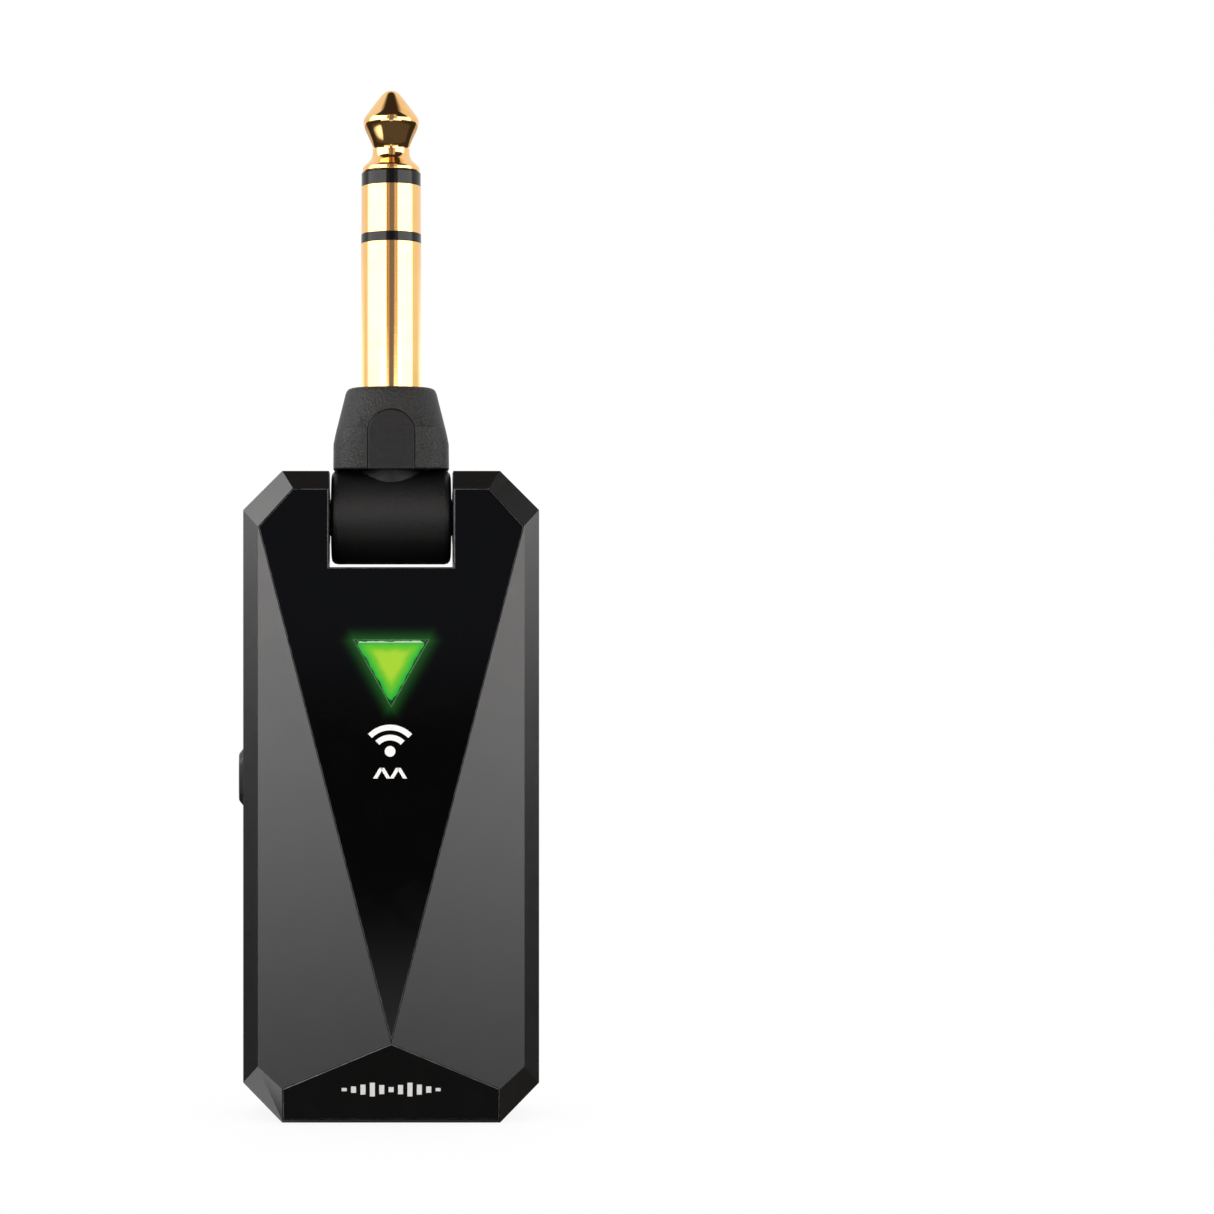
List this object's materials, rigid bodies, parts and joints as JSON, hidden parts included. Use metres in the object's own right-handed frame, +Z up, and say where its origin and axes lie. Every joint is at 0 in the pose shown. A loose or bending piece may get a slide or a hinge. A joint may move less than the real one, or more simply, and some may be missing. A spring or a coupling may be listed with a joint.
{
  "type": "wireless guitar transmitter",
  "caption": "Pocket wireless instrument transmitter: a folding 6.35 mm jack plug on a faceted black case with a lit triangular lens and a side button.",
  "frame": {"origin": "on the plug's axis, at the shoulder where the plug leaves its boot and the jack's face seats", "axes": "+Z runs up the plug towards its tip, the faceted front of the case faces -Y, +X is to the right of the front, and the hinge lies along X"},
  "size_m": [0.0314, 0.0142, 0.108],
  "materials": {
    "gold_plate": "polished gold plating on brass",
    "black_insulator": "black moulded insulator",
    "tinned_brass": "tinned",
    "grained_plastic": "fine spark-eroded grain, satin black",
    "boot_plastic": "fine spark-eroded grain, matte black",
    "hinge_steel": "bright stainless steel",
    "cable_jacket": "matte black jacket",
    "gloss_shell": "polished graphite black",
    "satin_shell": "satin black",
    "smoked_window": "piano black",
    "green_lens": "translucent green, lit from behind",
    "white_plastic": "white nylon",
    "board_green": "solder mask on glass epoxy",
    "tin_can": "tin plate",
    "chip_black": "moulded epoxy",
    "antenna_ceramic": "white ceramic",
    "capacitor_tan": "tan ceramic with tinned ends",
    "led_green": "clear resin",
    "cell_foil": "aluminium laminate pouch",
    "foam_grey": "closed-cell foam",
    "lead_red": "insulated wire",
    "black_screw": "black zinc",
    "bush_plastic": "self-lubricating black acetal",
    "button_plastic": "satin black"
  },
  "bodies": {
    "plug_arm": {"plug_tip": "gold_plate", "tip_insulator": "black_insulator", "ring_contact": "gold_plate", "ring_insulator": "black_insulator", "plug_sleeve": "gold_plate", "solder_tags": "tinned_brass", "knuckle_front": "grained_plastic", "knuckle_rear": "grained_plastic", "boot": "boot_plastic", "hinge_tube": "hinge_steel", "friction_washers": "hinge_steel", "retaining_rings": "hinge_steel", "plug_cable": "cable_jacket"},
    "case": {"front_shell": "gloss_shell", "rear_cover": "satin_shell", "front_window": "smoked_window", "tail_plate": "smoked_window", "status_lens": "green_lens", "light_baffle": "white_plastic", "main_board": "board_green", "radio_shield": "tin_can", "radio_chip": "chip_black", "chip_antenna": "antenna_ceramic", "circuit_chips": "chip_black", "chip_capacitors": "capacitor_tan", "status_leds": "led_green", "battery": "cell_foil", "battery_pad": "foam_grey", "battery_connector": "white_plastic", "battery_leads": "lead_red", "board_cable": "cable_jacket", "cable_connector": "white_plastic", "usb_socket": "hinge_steel", "usb_tongue": "black_insulator", "side_switch": "chip_black", "case_screws": "black_screw", "board_screws": "hinge_steel", "hinge_bushes": "bush_plastic"},
    "button": {"power_button": "button_plastic", "switch_plunger": "button_plastic"}
  },
  "joints": [
    {"name": "plug_hinge", "type": "hinge", "parent": "plug_arm", "child": "case", "pos_m": [0, 0, -0.0136], "axis": [1, 0, 0], "range_deg": [-90, 90]},
    {"name": "power_press", "type": "slide", "parent": "case", "child": "button", "axis": [1, 0, 0], "range_m": [0, 0.0003], "stiffness_N_per_m": 2000, "springref_m": -0.0003}
  ]
}
